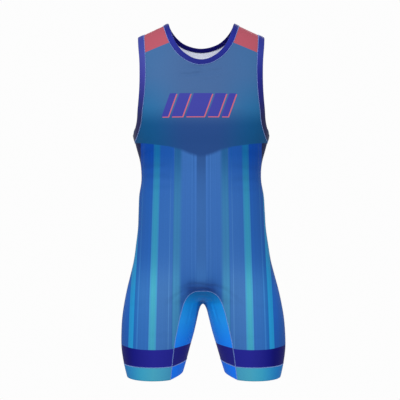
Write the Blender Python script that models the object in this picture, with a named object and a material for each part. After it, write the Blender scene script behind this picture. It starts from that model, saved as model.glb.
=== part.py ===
"""Wrestling singlet in stretch knit, in its worn shape with nobody inside it.

Metres, +Z up, the front faces -Y. The origin lies between the two shoulder straps,
at the height of their ridge, where the wearer's shoulders hold the garment up.

The cut is six pieces, each an object of its own: front panel, back panel, the gusset
between the legs, the neck binding and the two armhole bindings. All of them are laid
on one smooth figure, which FORM_ROWS gives as a short table of level sections.
"""
import bpy
import numpy as np

MM = 0.001

# Cloth and seams
WALL = 1.2 * MM          # one layer of the panels' knit
HEM_WALL = 2.6 * MM      # the leg hem, turned up inside
HEM_DEPTH = 34 * MM      # height of that turned hem
TAPE = 1.0 * MM          # one leaf of a folded binding
GAP = 0.3 * MM           # between neighbouring pieces
NECK_BAND = 12 * MM      # width of the neck binding
ARM_BAND = 16 * MM       # width of the armhole bindings
FOLD_ROUND = 0.76        # how full the fold of a binding is

# Shape above and below the torso
NECK_POINT = (81 * MM, 17 * MM)      # where the neck edge meets the shoulder seam
SHOULDER_FALL = 0.462                # slope of the shoulder seam
DOME = 110 * MM                      # height over which the body closes to that seam
CROTCH_ROUND = 25 * MM               # softens the figure between the legs
LEGS = -700 * MM                     # below the crotch, where each leg is a tube of its own
HEM = -844.5 * MM                    # leg hem
HEM_RISE = 12 * MM                   # how much higher the hem is at the inner thigh
TURN_UP_RISE = 9.6 * MM              # the same for the top of the turned hem
WAIST = -344 * MM
SWAY = 0.013                         # sideways lean of the garment below the waist

# The figure in level sections, in millimetres. Each half of a section, front and back,
# is a superellipse with its own depth; thigh is the distance of a leg's middle from
# the centre, and roundness is the exponent, 2 for an ellipse.
FORM_COLUMNS = ("height", "half_width", "front", "back", "thigh", "roundness")
FORM_ROWS = [
    (-870, 180.0, 68, 68, 125.1, 2.00),
    (-850, 186.0, 71, 71, 124.7, 2.00),
    (-814, 194.5, 77, 78, 123.7, 2.00),
    (-775, 200.0, 82, 84, 121.8, 2.00),
    (-736, 200.0, 85, 90, 117.6, 2.05),
    (-697, 197.0, 87, 97, 113.4, 2.10),
    (-680, 194.5, 88, 100, 111.3, 2.10),
    (-668, 192.4, 88.7, 102.7, 109.55, 2.10),
    (-661, 191.1, 89.2, 104.4, 108.5, 2.10),
    (-647, 188.3, 90.4, 107.6, 102.0, 2.12),
    (-630, 184.5, 92, 111, 91.0, 2.15),
    (-599, 176.5, 96, 117, 62.0, 2.20),
    (-560, 167.0, 98, 118, 25.0, 2.25),
    (-520, 161.0, 99, 115, 4.0, 2.30),
    (-481, 156.0, 99, 108, 0.0, 2.30),
    (-440, 154.0, 97, 99, 0.0, 2.30),
    (-403, 152.0, 94, 92, 0.0, 2.30),
    (-364, 146.0, 92, 88, 0.0, 2.30),
    (-344, 146.0, 92, 89, 0.0, 2.30),
    (-324, 148.0, 94, 91, 0.0, 2.30),
    (-285, 158.0, 99, 98, 0.0, 2.35),
    (-254, 166.0, 105, 103, 0.0, 2.40),
    (-230, 169.0, 108, 106, 0.0, 2.42),
    (-200, 172.0, 108, 108, 0.0, 2.45),
    (-160, 175.0, 103, 108, 0.0, 2.45),
    (-120, 177.0, 95, 104, 0.0, 2.45),
    (-81, 178.0, 86, 96, 0.0, 2.45),
    (-40, 178.0, 76, 84, 0.0, 2.45),
    (0, 178.0, 70, 72, 0.0, 2.45),
    (60, 178.0, 66, 58, 0.0, 2.45),
]

# Cut lines of one side, in millimetres; the other side is their mirror image.
# Armhole edge: height, and turn in degrees round the body from the centre front.
ARMHOLE_ROWS = [(-17, 56.6), (-44, 55.0), (-77, 52.9), (-110, 52.5), (-155, 54.2),
                (-193, 58.0), (-229, 63.6), (-249, 72.5), (-258.5, 90.0)]
# Neck edges and gusset seam: distance from the centre, and height.
NECK_ROWS = {
    "front": [(81, 17), (75.5, -2), (63.8, -34), (51.4, -53.5), (33.2, -70),
              (15, -79.2), (0, -81.5)],
    "back": [(81, 17), (73.5, 5), (62.4, -7.5), (48.2, -18.5), (29, -26.5), (0, -31)],
}
GUSSET_ROWS = [(0, -630.5), (20, -632.5), (33, -640), (43, -654), (51, -676),
               (57.5, -702), (66.5, -744), (80, -844.5)]
MM_PER_DEGREE = 2.3      # round the chest, to space points evenly along the armhole

# Steps along each line
NECK_STEPS = 9
CENTRE_STEPS = 13
LEG_STEPS = 9
ARM_STEPS = 14
ACROSS_STEPS = 10
CROTCH_CROWD = 1.5       # brings the inner thigh's points closer near the crotch
FINE = 600               # points of a curve before it is divided evenly
CROSS_STEPS = 10         # of the gusset, from its front seam to its back seam
HEM_LEVELS = np.array([-812.5, -828.5, -844.5]) * MM
TURN_UP = HEM + HEM_DEPTH
SIDE_STEPS = NECK_STEPS + CENTRE_STEPS + LEG_STEPS - ARM_STEPS


# ---------------------------------------------------------------- the figure

def smooth(at, known, values):
    """Read a table between its rows, along a curve without corners."""
    slope = np.gradient(values, known)
    row = np.clip(np.searchsorted(known, at) - 1, 0, len(known) - 2)
    step = known[row + 1] - known[row]
    t = (at - known[row]) / step
    return ((2 * t**3 - 3 * t**2 + 1) * values[row]
            + (t**3 - 2 * t**2 + t) * step * slope[row]
            + (3 * t**2 - 2 * t**3) * values[row + 1]
            + (t**3 - t**2) * step * slope[row + 1])


FORM = dict(zip(FORM_COLUMNS, np.array(FORM_ROWS, float).T * MM))
FORM["roundness"] = FORM["roundness"] / MM


def section(column, z):
    return smooth(z, FORM["height"], FORM[column])


def shoulder(x):
    """Height of the shoulder seam at a distance from the centre."""
    return NECK_POINT[1] - SHOULDER_FALL * (np.abs(x) - NECK_POINT[0])


def across(x, z):
    """Place across a section: 1 at the side seam, -1 at the inner thigh."""
    thigh = section("thigh", z)
    side = np.hypot(section("half_width", z), CROTCH_ROUND)
    return (np.hypot(x, CROTCH_ROUND) - thigh) / (side - thigh)


def share_filled(x, z):
    """How far a point is to the side, and how far up the dome, as powers of 0 to 1."""
    power = section("roundness", z)
    wide = np.abs(across(x, z)) ** power
    high = np.clip(1 - (shoulder(x) - z) / DOME, 0, None) ** power
    return wide, high, power


def fullness(p):
    """0 on the figure's skin, below 0 inside it and above 0 outside it."""
    x, y, z = p[..., 0], p[..., 1], p[..., 2]
    wide, high, power = share_filled(x, z)
    depth = np.where(y < 0, section("front", z), section("back", z))
    total = wide + high - wide * high + np.abs(y / depth) ** power
    return total ** (1 / power) - 1


def gradient(p):
    small = 0.01 * MM
    return np.stack([fullness(p + step) - fullness(p - step)
                     for step in small * np.eye(3)], -1) / (2 * small)


def outward(p):
    """Unit vectors out of the figure, at points on its skin."""
    slope = gradient(p)
    return slope / np.linalg.norm(slope, axis=-1, keepdims=True)


def settle(p, level_below):
    """Move points onto the figure's skin, those below a height without leaving theirs."""
    free = np.ones_like(p)
    free[..., 2] = p[..., 2] > level_below
    for _ in range(14):
        slope = gradient(p) * free
        p = p - fullness(p)[..., None] * slope / np.sum(slope**2, -1, keepdims=True)
    return p


def lay(x, z, face):
    """Points of the front (face -1) or back (face 1), from their front view."""
    wide, high, power = share_filled(x, z)
    depth = section("front" if face < 0 else "back", z)
    y = face * depth * (np.clip(1 - wide, 0, 1) * np.clip(1 - high, 0, 1)) ** (1 / power)
    return np.stack([x, y, z], -1)


# ---------------------------------------------------------------- the cut lines

def even(curve, shares):
    """Points at given shares of a fine curve's length."""
    length = np.append(0, np.cumsum(np.linalg.norm(np.diff(curve, axis=0), axis=1)))
    return np.stack([np.interp(shares * length[-1], length, c) for c in curve.T], -1)


def through(rows, level_end=False):
    """Fine smooth curve through the rows of a table, level at its end if asked."""
    rows = np.array(rows, float)
    if level_end:
        rows = np.vstack([rows, rows[-2] * [-1, 1]])
    along = np.append(0, np.cumsum(np.linalg.norm(np.diff(rows, axis=0), axis=1)))
    fine = np.linspace(0, along[-2] if level_end else along[-1], FINE)
    return np.stack([smooth(fine, along, column) for column in rows.T], -1)


def steps_to_one(steps, crowd=1):
    """Shares from 0 to 1, crowded towards 0 where crowd is above 1."""
    return np.linspace(0, 1, steps + 1) ** crowd


def neck_edge(face):
    """Cut edge of the neck, from the shoulder seam to the centre."""
    curve = through(NECK_ROWS["front" if face < 0 else "back"], level_end=True) * MM
    edge = even(lay(curve[:, 0], curve[:, 1], face), steps_to_one(NECK_STEPS))
    edge[0, 1] = 0
    edge[-1, 0] = 0
    return edge


def armhole_edge(face):
    """Cut edge of the armhole, from the shoulder seam to the side seam."""
    curve = through([(height, turn * MM_PER_DEGREE) for height, turn in ARMHOLE_ROWS])
    z = curve[:, 0] * MM
    turn = np.radians(np.minimum(curve[:, 1] / MM_PER_DEGREE, 90))
    reach = np.sin(turn) ** (2 / section("roundness", z))
    reach = reach * np.hypot(section("half_width", z), CROTCH_ROUND)
    x = np.sqrt(reach**2 - CROTCH_ROUND**2)
    z[0] = shoulder(x[0])
    edge = even(lay(x, z, face), steps_to_one(ARM_STEPS))
    edge[[0, -1], 1] = 0
    return edge


def side_seam(top):
    """Side seam below the armhole binding, down to the leg hem."""
    z = np.append(np.linspace(top, TURN_UP, SIDE_STEPS + 1)[1:], HEM_LEVELS)
    return np.stack([section("half_width", z), 0 * z, z], -1)


def centre_line(top, bottom, face):
    """Middle of a panel between the neck binding and the gusset, without its ends."""
    z = np.linspace(top, bottom, CENTRE_STEPS + 1)[1:-1]
    return lay(0 * z, z, face)


def gusset_seam(face):
    """Seam between a panel and the gusset, from the centre to the leg hem."""
    curve = through(GUSSET_ROWS) * MM
    curve[0, 0] = 0
    curve = lay(curve[:, 0], curve[:, 1], face)
    upper = even(curve[curve[:, 2] >= TURN_UP], steps_to_one(LEG_STEPS))
    lower = np.stack([np.interp(-HEM_LEVELS, -curve[:, 2], c) for c in curve.T], -1)
    return settle(np.vstack([upper, lower]), HEM_LEVELS[0] + GAP)


def thigh_line():
    """Inner thigh from the crotch to the hem, where front and back of the leg meet."""
    z = np.linspace(GUSSET_ROWS[0][1] * MM, HEM, 2 * FINE)
    inner = 2 * section("thigh", z) - np.hypot(section("half_width", z), CROTCH_ROUND)
    z = z[inner >= CROTCH_ROUND]
    x = np.sqrt(inner[inner >= CROTCH_ROUND]**2 - CROTCH_ROUND**2)
    x[0] = 0
    curve = np.stack([x, 0 * x, z], -1)
    rise = np.interp(-HEM_LEVELS, [-TURN_UP, -HEM], [TURN_UP_RISE, HEM_RISE])
    upper = even(curve[z >= TURN_UP + TURN_UP_RISE], steps_to_one(LEG_STEPS, CROTCH_CROWD))
    lower = np.stack([np.interp(-HEM_LEVELS - rise, -z, c) for c in curve.T], -1)
    return np.vstack([upper, lower])


def square_to(line, sign):
    """Unit vectors along the cloth, square to a line on it, to one side."""
    side = sign * np.cross(outward(line), np.gradient(line, axis=0))
    return side / np.linalg.norm(side, axis=1, keepdims=True)


def edge_strip(edge, band, sign, on_seam):
    """The line of a cut edge, with lines half a binding's width in and all of it."""
    side = square_to(edge, sign)
    side[on_seam, 1] = 0
    centred = edge[:, 0] == 0
    side[centred, 0] = 0
    side /= np.linalg.norm(side, axis=1, keepdims=True)
    inner = [settle(edge + share * band * side, HEM) for share in (0.5, 1.0)]
    return np.stack([edge] + inner, 1)


# ---------------------------------------------------------------- shells

def weld(patches):
    """Join grids of points along their shared lines.

    Gives the points, which of the grids' points each one was, and quads that face out.
    """
    points = np.vstack([patch.reshape(-1, 3) for patch in patches]) + 0.0
    quads = []
    start = 0
    for patch in patches:
        number = np.arange(patch.shape[0] * patch.shape[1]).reshape(patch.shape[:2]) + start
        cells = np.stack([number[:-1, :-1], number[1:, :-1],
                          number[1:, 1:], number[:-1, 1:]], -1).reshape(-1, 4)
        corner = points[cells]
        facing = np.cross(corner[:, 2] - corner[:, 0], corner[:, 3] - corner[:, 1])
        if np.sum(facing * outward(corner[:, 0])) < 0:
            cells = cells[:, ::-1]
        quads.append(cells)
        start += number.size
    keys = np.round(points / (0.001 * MM)).astype(np.int64)
    _, first, same = np.unique(keys, axis=0, return_index=True, return_inverse=True)
    return points[first], first, same.reshape(-1)[np.vstack(quads)]


def hemmed(patch):
    """Wall of a grid that ends in a turned-up leg hem."""
    wall = np.full(patch.shape[:2], WALL)
    wall[-len(HEM_LEVELS):] = HEM_WALL
    return wall


def shell(patches, walls):
    """A wall of cloth: outer skin, inner skin and the rim between them."""
    points, first, quads = weld(patches)
    wall = np.concatenate([wall.reshape(-1) for wall in walls])[first, None]
    corners = np.vstack([points, points - wall * outward(points)])
    count = len(points)
    edges = np.stack([quads, np.roll(quads, -1, axis=1)], -1).reshape(-1, 2)
    one_way = {tuple(edge) for edge in edges.tolist()}
    rim = [(b, a, a + count, b + count) for a, b in sorted(one_way) if (b, a) not in one_way]
    return corners, np.vstack([quads, quads[:, ::-1] + count, np.array(rim)])


def split(points, quads):
    """Fold each quad along its diagonal that lies further out, so neighbours agree."""
    a, b, c, d = np.moveaxis(points[quads], 1, 0)
    along_ac = (fullness((a + c) / 2) > fullness((b + d) / 2))[:, None]
    first = np.where(along_ac, quads[:, [0, 1, 2]], quads[:, [1, 2, 3]])
    second = np.where(along_ac, quads[:, [0, 2, 3]], quads[:, [1, 3, 0]])
    return np.vstack([first, second])


def sway(points):
    """The filled garment leans a little to one side below its waist."""
    below = np.clip(WAIST - points[:, 2], 0, None)
    return points + np.stack([SWAY * below, 0 * below, 0 * below], -1)


def add_piece(name, points, quads, colour, rough):
    mesh = bpy.data.meshes.new(name)
    mesh.from_pydata(sway(points).tolist(), [], split(points, quads).tolist())
    mesh.shade_smooth()
    mesh.set_sharp_from_angle(angle=np.radians(50))
    material = bpy.data.materials.new(name)
    material.use_nodes = True
    shader = material.node_tree.nodes["Principled BSDF"]
    shader.inputs["Base Color"].default_value = (*colour, 1)
    shader.inputs["Roughness"].default_value = rough
    shader.inputs["Metallic"].default_value = 0
    mesh.materials.append(material)
    piece = bpy.data.objects.new(name, mesh)
    bpy.context.collection.objects.link(piece)
    return piece


# ---------------------------------------------------------------- panels

def rows_between(left, right, steps):
    """Rows of cloth from one line to another, evenly divided."""
    share = steps_to_one(FINE // 10)[None, :, None]
    fine = left[:, None] * (1 - share) + right[:, None] * share
    fine[:, 1:-1] = settle(fine[:, 1:-1], NECK_POINT[1])
    rows = np.stack([even(row, steps_to_one(steps)) for row in fine])
    rows[:, 1:-1] = settle(rows[:, 1:-1], NECK_POINT[1])
    return rows


def mirrored(patches):
    return patches + [patch * [-1, 1, 1] for patch in patches]


def panel(face):
    """Front (face -1) or back (face 1), cut in one piece from shoulder to hem."""
    arm = edge_strip(armhole_edge(face), ARM_BAND, face, [0, -1])
    neck = edge_strip(neck_edge(face), NECK_BAND, -face, [0])
    seam = gusset_seam(face)
    seam = seam + GAP / 2 * square_to(seam, -face)
    seam[0, 0] = 0
    outer = np.vstack([arm[:, -1], side_seam(arm[-1, -1, 2])])
    centre = centre_line(neck[-1, -1, 2], seam[0, 2], face)
    inner = np.vstack([neck[:, -1], centre, seam])
    patches = [arm, neck, rows_between(outer, inner, ACROSS_STEPS)]
    for patch in patches:
        # The shoulder and side seams lie in the plane between front and back
        patch[..., 1] = face * np.maximum(face * patch[..., 1], GAP / 2)
    walls = [np.full(patch.shape[:2], WALL) for patch in patches[:2]] + [hemmed(patches[2])]
    return shell(mirrored(patches), walls + walls)


def gusset():
    """Strip along both inner thighs, from leg hem over the crotch to leg hem."""
    front, back = gusset_seam(-1), gusset_seam(1)
    front = front - GAP / 2 * square_to(front, 1)
    back = back - GAP / 2 * square_to(back, -1)
    front[0, 0] = back[0, 0] = 0
    thigh = thigh_line()
    quarter = steps_to_one(CROSS_STEPS // 2)[None, :, None] * np.pi / 2
    halves = []
    for seam in (front, back):
        bend = np.concatenate([1 - np.sin(quarter), np.cos(quarter), 1 - np.sin(quarter)], -1)
        half = thigh[:, None] + (seam - thigh)[:, None] * bend
        half[:, 1:] = settle(half[:, 1:], LEGS)
        half[:, 0] = seam
        halves.append(half)
    halves[1][:, -1] = halves[0][:, -1]
    grid = np.concatenate([halves[0], halves[1][:, -2::-1]], 1)
    return shell(mirrored([grid]), [hemmed(grid)] * 2)


# ---------------------------------------------------------------- bindings

def binding(front, back):
    """Tape folded over a cut edge: a U that runs round the opening and closes."""
    ring = np.concatenate([front, back[-2:0:-1]], 0)
    normal = outward(ring)
    beyond = ring[:, 0] - ring[:, 1]
    beyond -= np.sum(beyond * normal[:, 0], -1, keepdims=True) * normal[:, 0]
    beyond /= np.linalg.norm(beyond, axis=-1, keepdims=True)
    top = GAP + TAPE
    bottom = -(WALL + GAP + TAPE)
    middle = (top + bottom) / 2
    turn = FOLD_ROUND * (top - middle)
    near = FOLD_ROUND * top
    # Profile: line of the strip, distance beyond the cut edge, height off the cloth
    profile = [(2, 0, top), (1, 0, top), (0, 0, top), (0, near, middle + turn),
               (0, top, middle), (0, near, middle - turn), (0, 0, bottom),
               (1, 0, bottom), (2, 0, bottom), (2, 0, -WALL - GAP), (1, 0, -WALL - GAP),
               (0, GAP, -WALL - GAP), (0, GAP, GAP), (1, 0, GAP), (2, 0, GAP)]
    rings = np.stack([ring[:, line] + out * beyond + up * normal[:, line]
                      for line, out, up in profile], 1)
    stations, around = rings.shape[:2]
    number = np.arange(stations * around).reshape(stations, around)
    ahead = np.roll(number, -1, axis=0)
    faces = np.stack([number, ahead, np.roll(ahead, -1, axis=1), np.roll(number, -1, axis=1)], -1)
    return rings.reshape(-1, 3), faces.reshape(-1, 4)


def face_out(points, faces):
    """Turn a closed shape's faces out: its volume, summed over them, is positive."""
    corner = points[faces]
    volume = np.sum(corner[:, 0] * (np.cross(corner[:, 1], corner[:, 2])
                                    + np.cross(corner[:, 2], corner[:, 3])))
    return faces if volume > 0 else faces[:, ::-1]


def neck_binding():
    front = edge_strip(neck_edge(-1), NECK_BAND, 1, [0])
    back = edge_strip(neck_edge(1), NECK_BAND, -1, [0])
    other = [strip[::-1] * [-1, 1, 1] for strip in (front, back)]
    points, faces = binding(np.concatenate([front, other[0][1:]]),
                            np.concatenate([back, other[1][1:]]))
    return points, face_out(points, faces)


def armhole_binding(side):
    front = edge_strip(armhole_edge(-1), ARM_BAND, -1, [0, -1])
    back = edge_strip(armhole_edge(1), ARM_BAND, 1, [0, -1])
    points, faces = binding(front * [side, 1, 1], back * [side, 1, 1])
    return points, face_out(points, faces)


# ---------------------------------------------------------------- the garment

for old in list(bpy.data.objects):
    bpy.data.objects.remove(old)

BLUE = (0.035, 0.12, 0.42)
AZURE = (0.01, 0.19, 0.66)
INDIGO = (0.05, 0.06, 0.34)

add_piece("front_panel", *panel(-1), BLUE, 0.6)
add_piece("back_panel", *panel(1), BLUE, 0.6)
add_piece("gusset_panel", *gusset(), AZURE, 0.6)
add_piece("neck_binding", *neck_binding(), INDIGO, 0.65)
# The wearer's right arm is on the -X side
add_piece("armhole_binding_right", *armhole_binding(-1), INDIGO, 0.65)
add_piece("armhole_binding_left", *armhole_binding(1), INDIGO, 0.65)
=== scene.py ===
"""Wrestling singlet in printed stretch knit, in its worn shape with nobody inside it.

Metres, +Z up, the front faces -Y, and the origin lies between the two shoulder straps.
The sections follow the making: printed front and back panels, the gusset between the
legs, the folded bindings round neck and arms, the sewing threads, and then the studio.
"""

import bpy
import numpy as np
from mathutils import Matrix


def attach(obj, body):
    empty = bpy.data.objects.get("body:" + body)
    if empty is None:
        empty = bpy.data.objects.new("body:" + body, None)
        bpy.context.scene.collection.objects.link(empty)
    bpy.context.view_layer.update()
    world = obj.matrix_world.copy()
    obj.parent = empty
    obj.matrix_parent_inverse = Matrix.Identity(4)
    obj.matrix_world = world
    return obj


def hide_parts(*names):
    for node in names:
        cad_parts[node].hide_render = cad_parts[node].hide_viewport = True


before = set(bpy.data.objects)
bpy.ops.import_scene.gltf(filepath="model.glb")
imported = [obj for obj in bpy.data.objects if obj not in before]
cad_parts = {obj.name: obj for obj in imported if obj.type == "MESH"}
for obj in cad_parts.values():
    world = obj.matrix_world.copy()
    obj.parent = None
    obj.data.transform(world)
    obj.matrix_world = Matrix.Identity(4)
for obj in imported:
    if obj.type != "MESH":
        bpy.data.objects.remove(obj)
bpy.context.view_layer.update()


# ---------------------------------------------------------------- front and back panels
# Each is one layer of polyester and elastane jersey, cut in one piece from the shoulder
# to the leg hem. The print is sublimated into its outer face, so the inside stays
# undyed, and the leg hem is turned up inside and coverstitched.

MM = 0.001
WALL = 1.2 * MM              # one layer of jersey
HEM_WALL = 2.6 * MM          # the turned hem, two layers
HEM_DEPTH = 34 * MM
HEM_ROUND = 1.0 * MM         # how far the fold of the hem bulges down
GAP = 0.3 * MM               # between a binding's leaves and the cloth
SEAM_GAP = 0.04 * MM         # between neighbouring pieces at a flat seam
NECK_TAPE = 12 * MM          # width of the neck binding, which covers the cut edge
ARM_TAPE = 16 * MM

NECK_POINT = (81 * MM, 17 * MM)      # where the neck edge meets the shoulder seam
SHOULDER_FALL = 0.462
DOME = 110 * MM                      # height over which the form closes to the shoulder
CROTCH_ROUND = 25 * MM
LEGS = -700 * MM                     # below this each leg is a tube of its own
HEM = -844.5 * MM
HEM_RISE = 12 * MM                   # how much higher the hem is at the inner thigh
TURN_UP_RISE = 9.6 * MM              # and the top of its turned edge
WAIST = -344 * MM
SWAY = 0.013                         # sideways lean of the garment below the waist

# Level sections of the filled garment, in millimetres
FORM_COLUMNS = ("height", "half_width", "front", "back", "thigh", "roundness")
FORM_ROWS = [
    (-870, 180.0, 68, 68, 125.1, 2.00),
    (-850, 186.0, 71, 71, 124.7, 2.00),
    (-814, 194.5, 77, 78, 123.7, 2.00),
    (-775, 200.0, 82, 84, 121.8, 2.00),
    (-736, 200.0, 85, 90, 117.6, 2.05),
    (-697, 197.0, 87, 97, 113.4, 2.10),
    (-680, 194.5, 88, 100, 111.3, 2.10),
    (-668, 192.4, 88.7, 102.7, 109.55, 2.10),
    (-661, 191.1, 89.2, 104.4, 108.5, 2.10),
    (-647, 188.3, 90.4, 107.6, 102.0, 2.12),
    (-630, 184.5, 92, 111, 91.0, 2.15),
    (-599, 176.5, 96, 117, 62.0, 2.20),
    (-560, 167.0, 98, 118, 25.0, 2.25),
    (-520, 161.0, 99, 115, 4.0, 2.30),
    (-481, 156.0, 99, 108, 0.0, 2.30),
    (-440, 154.0, 97, 99, 0.0, 2.30),
    (-403, 152.0, 94, 92, 0.0, 2.30),
    (-364, 146.0, 92, 88, 0.0, 2.30),
    (-344, 146.0, 92, 89, 0.0, 2.30),
    (-324, 148.0, 94, 91, 0.0, 2.30),
    (-285, 158.0, 99, 98, 0.0, 2.35),
    (-254, 166.0, 105, 103, 0.0, 2.40),
    (-230, 169.0, 108, 106, 0.0, 2.42),
    (-200, 172.0, 108, 108, 0.0, 2.45),
    (-160, 175.0, 103, 108, 0.0, 2.45),
    (-120, 177.0, 95, 104, 0.0, 2.45),
    (-81, 178.0, 86, 96, 0.0, 2.45),
    (-40, 178.0, 76, 84, 0.0, 2.45),
    (0, 178.0, 70, 72, 0.0, 2.45),
    (60, 178.0, 66, 58, 0.0, 2.45),
]
# Cut lines of one side, in millimetres: the armhole as height and degrees round the
# body, the neck edges and the gusset seam as distance from the centre and height
ARMHOLE_ROWS = [(-17, 56.6), (-44, 55.0), (-77, 52.9), (-110, 52.5), (-155, 54.2),
                (-193, 58.0), (-229, 63.6), (-249, 72.5), (-258.5, 90.0)]
NECK_ROWS = {
    "front": [(81, 17), (75.5, -2), (63.8, -34), (51.4, -53.5), (33.2, -70),
              (15, -79.2), (0, -81.5)],
    "back": [(81, 17), (73.5, 5), (62.4, -7.5), (48.2, -18.5), (29, -26.5), (0, -31)],
}
GUSSET_ROWS = [(0, -630.5), (20, -632.5), (33, -640), (43, -654), (51, -676),
               (57.5, -702), (66.5, -744), (80, -844.5)]
MM_PER_DEGREE = 2.3

NECK_STEPS = 40
CENTRE_STEPS = 170
LEG_STEPS = 76
ARM_STEPS = 68
ACROSS_STEPS = 72
TAPE_STEPS = 4               # of the cloth under a binding
AROUND_STEPS = 24            # of the path that measures the way round the body
ENDS_CROWD = 0.4             # how much closer the rows lie near the neck and the crotch
CROTCH_CROWD = 1.5
FINE = 900                   # points of a curve before it is divided evenly
NEWTON_STEPS = 12
WELD = 0.002 * MM            # points nearer than this are one
SHARP = np.radians(62)       # edges that turn further are shaded as sharp
TURN_UP = HEM + HEM_DEPTH
# Rows of the turned hem: the step to its second layer, then evenly down to its fold
HEM_LEVELS = np.append(TURN_UP - 0.5 * MM, np.linspace(TURN_UP - 4 * MM, HEM + HEM_ROUND, 9))
SIDE_STEPS = NECK_STEPS + CENTRE_STEPS + LEG_STEPS - ARM_STEPS


def smooth(at, known, values):
    """Table read between its rows: a cubic through them with the table's own slopes."""
    slope = np.gradient(values, known)
    row = np.clip(np.searchsorted(known, at) - 1, 0, len(known) - 2)
    step = known[row + 1] - known[row]
    t = (at - known[row]) / step
    return ((2 * t**3 - 3 * t**2 + 1) * values[row]
            + (t**3 - 2 * t**2 + t) * step * slope[row]
            + (3 * t**2 - 2 * t**3) * values[row + 1]
            + (t**3 - t**2) * step * slope[row + 1])


def unit(vectors):
    """Vectors brought to length 1."""
    return vectors / np.linalg.norm(vectors, axis=-1, keepdims=True)


def lengths(curve):
    """Length of a line of points up to each of them."""
    return np.append(0, np.cumsum(np.linalg.norm(np.diff(curve, axis=0), axis=1)))


def read_off(at, along, curve):
    """A line of points read at given places along it, straight between its own."""
    return np.stack([np.interp(at, along, column) for column in curve.T], -1)


FORM = dict(zip(FORM_COLUMNS, np.array(FORM_ROWS, float).T * MM))
FORM["roundness"] = FORM["roundness"] / MM


def section(column, z):
    """One column of the form at given heights."""
    return smooth(z, FORM["height"], FORM[column])


def shoulder(x):
    """Height of the shoulder seam: a straight slope down from the neck point."""
    return NECK_POINT[1] - SHOULDER_FALL * (np.abs(x) - NECK_POINT[0])


def share_filled(x, z):
    """How far a point is to the side and how far up the dome, as powers of 0 to 1."""
    power = section("roundness", z)
    thigh = section("thigh", z)
    side = np.hypot(section("half_width", z), CROTCH_ROUND)
    wide = np.abs((np.hypot(x, CROTCH_ROUND) - thigh) / (side - thigh)) ** power
    high = np.clip(1 - (shoulder(x) - z) / DOME, 0, None) ** power
    return wide, high, power


def fullness(p):
    """Superellipse of width, depth and dome: 0 on the skin, above 0 outside it."""
    wide, high, power = share_filled(p[..., 0], p[..., 2])
    depth = np.where(p[..., 1] < 0, section("front", p[..., 2]), section("back", p[..., 2]))
    total = wide + high - wide * high + np.abs(p[..., 1] / depth) ** power
    return total ** (1 / power) - 1


def gradient(p):
    """Slope of the fullness, from differences 0.01 mm to each side."""
    small = 0.01 * MM
    return np.stack([fullness(p + step) - fullness(p - step)
                     for step in small * np.eye(3)], -1) / (2 * small)


def outward(p):
    """Unit vectors square to the form's skin."""
    return unit(gradient(p))


def settle(p, level_below):
    """Newton steps onto the skin; points below the given height keep their own."""
    free = np.ones_like(p)
    free[..., 2] = p[..., 2] > level_below
    for _ in range(NEWTON_STEPS):
        slope = gradient(p) * free
        p = p - fullness(p)[..., None] * slope / np.sum(slope**2, -1, keepdims=True)
    return p


def lay(x, z, face):
    """Skin of the front (face -1) or back (face 1) over a place in the front view."""
    wide, high, power = share_filled(x, z)
    depth = section("front" if face < 0 else "back", z)
    y = face * depth * (np.clip(1 - wide, 0, 1) * np.clip(1 - high, 0, 1)) ** (1 / power)
    return np.stack([x, y, z], -1)


def even(curve, shares):
    """Points at given shares of a fine curve's length."""
    length = lengths(curve)
    return read_off(shares * length[-1], length, curve)


def through(rows, level_end=False):
    """Fine smooth curve through a table's rows, level at its end if asked."""
    rows = np.array(rows, float)
    if level_end:
        rows = np.vstack([rows, rows[-2] * [-1, 1]])
    along = lengths(rows)
    fine = np.linspace(0, along[-2] if level_end else along[-1], FINE)
    return np.stack([smooth(fine, along, column) for column in rows.T], -1)


def steps_to_one(steps, crowd=1):
    """Even shares from 0 to 1, closer near 0 where the crowding power is above 1."""
    return np.linspace(0, 1, steps + 1) ** crowd


def neck_edge(face):
    """Cut edge of the neck, from the shoulder seam to the centre."""
    curve = through(NECK_ROWS["front" if face < 0 else "back"], level_end=True) * MM
    edge = even(lay(curve[:, 0], curve[:, 1], face), steps_to_one(NECK_STEPS))
    edge[0, 1] = 0
    edge[-1, 0] = 0
    return edge


def armhole_edge(face):
    """Cut edge of the armhole, from the shoulder seam to the side seam."""
    curve = through([(height, turn * MM_PER_DEGREE) for height, turn in ARMHOLE_ROWS])
    z = curve[:, 0] * MM
    turn = np.radians(np.minimum(curve[:, 1] / MM_PER_DEGREE, 90))
    reach = np.sin(turn) ** (2 / section("roundness", z))
    reach = reach * np.hypot(section("half_width", z), CROTCH_ROUND)
    x = np.sqrt(reach**2 - CROTCH_ROUND**2)
    z[0] = shoulder(x[0])
    edge = even(lay(x, z, face), steps_to_one(ARM_STEPS))
    edge[[0, -1], 1] = 0
    return edge


def side_seam(top):
    """Side seam below the armhole binding, down to the leg hem."""
    z = np.append(np.linspace(top, TURN_UP, SIDE_STEPS + 1)[1:], HEM_LEVELS)
    return np.stack([section("half_width", z), 0 * z, z], -1)


def gusset_seam(face):
    """Seam between a panel and the gusset, from the centre to the leg hem."""
    curve = through(GUSSET_ROWS) * MM
    curve[0, 0] = 0
    curve = lay(curve[:, 0], curve[:, 1], face)
    upper = even(curve[curve[:, 2] >= TURN_UP], steps_to_one(LEG_STEPS))
    lower = read_off(-HEM_LEVELS, -curve[:, 2], curve)
    return settle(np.vstack([upper, lower]), HEM_LEVELS[0] + GAP)


def square_to(line, sign):
    """Unit vectors along the cloth, square to a line on it, to one side."""
    return unit(sign * np.cross(outward(line), np.gradient(line, axis=0)))


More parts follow.
